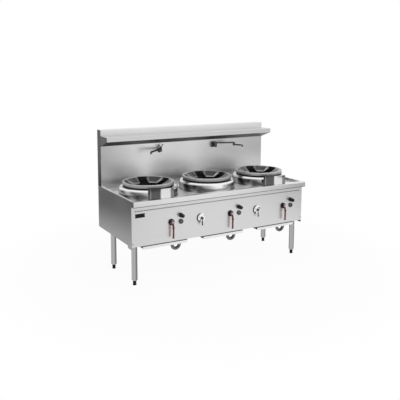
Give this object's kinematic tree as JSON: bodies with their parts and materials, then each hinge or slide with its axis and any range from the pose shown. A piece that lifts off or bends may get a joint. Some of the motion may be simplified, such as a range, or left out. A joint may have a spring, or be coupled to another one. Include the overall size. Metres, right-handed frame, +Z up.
{
  "type": "wok range",
  "caption": "Commercial stainless steel wok range on round legs, with chrome-skirted burners, cast rings, splashback with shelf, swing taps, gas levers and pull-out spill trays.",
  "frame": {"origin": "on the floor, under the middle of the range", "axes": "+X along the front to the user's right, +Y from the front to the splashback, +Z up"},
  "size_m": [1.8, 0.8, 1.253],
  "materials": {
    "steel_body": "brushed",
    "skirt_chrome": "polished",
    "ring_iron": "ground casting",
    "burner_iron": "sooty casting",
    "red_lever": "gloss enamel",
    "black_plastic": "gloss",
    "plate_black": "satin",
    "foot_plastic": "matt",
    "brass_fittings": "cast and turned",
    "gas_pipe": "paint",
    "water_pipe": "drawn tube",
    "dark_tap": "dark polished"
  },
  "bodies": {
    "frame": {"hob_deck": "steel_body", "front_nosing": "steel_body", "front_panel": "steel_body", "side_panel_left": "steel_body", "side_panel_right": "steel_body", "rear_panel": "steel_body", "splashback": "steel_body", "splashback_cover": "steel_body", "overhead_shelf": "steel_body", "shelf_end_caps": "steel_body", "underframe": "steel_body", "legs": "steel_body", "burner_skirt_left": "skirt_chrome", "burner_chamber_left": "burner_iron", "jet_burner_left": "burner_iron", "burner_skirt_centre": "skirt_chrome", "burner_chamber_centre": "burner_iron", "jet_burner_centre": "burner_iron", "burner_skirt_right": "skirt_chrome", "burner_chamber_right": "burner_iron", "jet_burner_right": "burner_iron", "panel_bezels": "black_plastic", "gas_valves": "brass_fittings", "gas_manifold": "gas_pipe", "burner_feed_pipes": "gas_pipe", "water_valves": "skirt_chrome", "water_pipes": "water_pipe", "gutter_outlet": "steel_body", "nameplate": "plate_black", "tap_body": "dark_tap", "filler_body": "dark_tap", "cover_screws": "steel_body"},
    "foot_front_left": {"foot_front_left": "foot_plastic"},
    "foot_front_right": {"foot_front_right": "foot_plastic"},
    "foot_rear_left": {"foot_rear_left": "foot_plastic"},
    "foot_rear_right": {"foot_rear_right": "foot_plastic"},
    "ring_left": {"cast_ring_left": "ring_iron"},
    "ring_centre": {"cast_ring_centre": "ring_iron"},
    "ring_right": {"cast_ring_right": "ring_iron"},
    "guard_left": {"heat_guard_left": "steel_body"},
    "guard_right": {"heat_guard_right": "steel_body"},
    "tray_left": {"spill_tray_left": "steel_body"},
    "tray_centre": {"spill_tray_centre": "steel_body"},
    "tray_right": {"spill_tray_right": "steel_body"},
    "lever_left": {"gas_lever_left": "red_lever"},
    "lever_centre": {"gas_lever_centre": "red_lever"},
    "lever_right": {"gas_lever_right": "red_lever"},
    "knob_left": {"pilot_knob_left": "black_plastic"},
    "knob_centre": {"pilot_knob_centre": "black_plastic"},
    "knob_right": {"pilot_knob_right": "black_plastic"},
    "button_left": {"igniter_button_left": "black_plastic"},
    "button_centre": {"igniter_button_centre": "black_plastic"},
    "button_right": {"igniter_button_right": "black_plastic"},
    "water_handle_left": {"water_handle_left": "black_plastic"},
    "water_handle_right": {"water_handle_right": "black_plastic"},
    "strainer": {"gutter_strainer": "steel_body"},
    "spout": {"tap_spout": "dark_tap"},
    "tap_handle": {"tap_handle": "dark_tap"},
    "filler_inner": {"filler_inner_arm": "dark_tap"},
    "filler_outer": {"filler_outer_arm": "dark_tap"}
  },
  "joints": [
    {"name": "foot_front_left_height", "type": "slide", "parent": "frame", "child": "foot_front_left", "axis": [0, 0, -1], "range_m": [0, 0.025]},
    {"name": "foot_front_right_height", "type": "slide", "parent": "frame", "child": "foot_front_right", "axis": [0, 0, -1], "range_m": [0, 0.025]},
    {"name": "foot_rear_left_height", "type": "slide", "parent": "frame", "child": "foot_rear_left", "axis": [0, 0, -1], "range_m": [0, 0.025]},
    {"name": "foot_rear_right_height", "type": "slide", "parent": "frame", "child": "foot_rear_right", "axis": [0, 0, -1], "range_m": [0, 0.025]},
    {"name": "ring_left_lift", "type": "slide", "parent": "frame", "child": "ring_left", "axis": [0, 0, 1], "range_m": [0, 0.12]},
    {"name": "ring_centre_lift", "type": "slide", "parent": "frame", "child": "ring_centre", "axis": [0, 0, 1], "range_m": [0, 0.12]},
    {"name": "ring_right_lift", "type": "slide", "parent": "frame", "child": "ring_right", "axis": [0, 0, 1], "range_m": [0, 0.12]},
    {"name": "guard_left_lift", "type": "slide", "parent": "frame", "child": "guard_left", "axis": [0, 0, 1], "range_m": [0, 0.12]},
    {"name": "guard_right_lift", "type": "slide", "parent": "frame", "child": "guard_right", "axis": [0, 0, 1], "range_m": [0, 0.12]},
    {"name": "tray_left_slide", "type": "slide", "parent": "frame", "child": "tray_left", "axis": [0, -1, 0], "range_m": [0, 0.45]},
    {"name": "tray_centre_slide", "type": "slide", "parent": "frame", "child": "tray_centre", "axis": [0, -1, 0], "range_m": [0, 0.45]},
    {"name": "tray_right_slide", "type": "slide", "parent": "frame", "child": "tray_right", "axis": [0, -1, 0], "range_m": [0, 0.45]},
    {"name": "lever_left_turn", "type": "hinge", "parent": "frame", "child": "lever_left", "pos_m": [-0.5335, -0.353, 0.518], "axis": [0, 1, 0], "range_deg": [0, 90]},
    {"name": "lever_centre_turn", "type": "hinge", "parent": "frame", "child": "lever_centre", "pos_m": [0.068, -0.353, 0.518], "axis": [0, 1, 0], "range_deg": [0, 90]},
    {"name": "lever_right_turn", "type": "hinge", "parent": "frame", "child": "lever_right", "pos_m": [0.6695, -0.353, 0.518], "axis": [0, 1, 0], "range_deg": [0, 90]},
    {"name": "knob_left_turn", "type": "hinge", "parent": "frame", "child": "knob_left", "pos_m": [-0.4405, -0.353, 0.566], "axis": [0, -1, 0], "range_deg": [0, 180]},
    {"name": "knob_centre_turn", "type": "hinge", "parent": "frame", "child": "knob_centre", "pos_m": [0.161, -0.353, 0.566], "axis": [0, -1, 0], "range_deg": [0, 180]},
    {"name": "knob_right_turn", "type": "hinge", "parent": "frame", "child": "knob_right", "pos_m": [0.7625, -0.353, 0.566], "axis": [0, -1, 0], "range_deg": [0, 180]},
    {"name": "button_left_press", "type": "slide", "parent": "frame", "child": "button_left", "axis": [0, 1, 0], "range_m": [0, 0.004], "stiffness_N_per_m": 700},
    {"name": "button_centre_press", "type": "slide", "parent": "frame", "child": "button_centre", "axis": [0, 1, 0], "range_m": [0, 0.004], "stiffness_N_per_m": 700},
    {"name": "button_right_press", "type": "slide", "parent": "frame", "child": "button_right", "axis": [0, 1, 0], "range_m": [0, 0.004], "stiffness_N_per_m": 700},
    {"name": "water_handle_left_turn", "type": "hinge", "parent": "frame", "child": "water_handle_left", "pos_m": [-0.2425, -0.353, 0.518], "axis": [0, -1, 0], "range_deg": [0, 90]},
    {"name": "water_handle_right_turn", "type": "hinge", "parent": "frame", "child": "water_handle_right", "pos_m": [0.359, -0.353, 0.518], "axis": [0, -1, 0], "range_deg": [0, 90]},
    {"name": "strainer_lift", "type": "slide", "parent": "frame", "child": "strainer", "axis": [0, 0, 1], "range_m": [0, 0.08]},
    {"name": "spout_swivel", "type": "hinge", "parent": "frame", "child": "spout", "pos_m": [-0.31, 0.288, 1], "axis": [0, 0, 1], "range_deg": [-29, 111]},
    {"name": "tap_handle_turn", "type": "hinge", "parent": "frame", "child": "tap_handle", "pos_m": [-0.31, 0.288, 1], "axis": [0, 0, 1], "range_deg": [-90, 0]},
    {"name": "filler_inner_swing", "type": "hinge", "parent": "frame", "child": "filler_inner", "pos_m": [0.299, 0.273, 1.07], "axis": [0, 0, 1], "range_deg": [-110, 18]},
    {"name": "filler_outer_swing", "type": "hinge", "parent": "filler_inner", "child": "filler_outer", "pos_m": [0.47566, 0.2087, 1.07], "axis": [0, 0, 1], "range_deg": [-80, 45]}
  ]
}
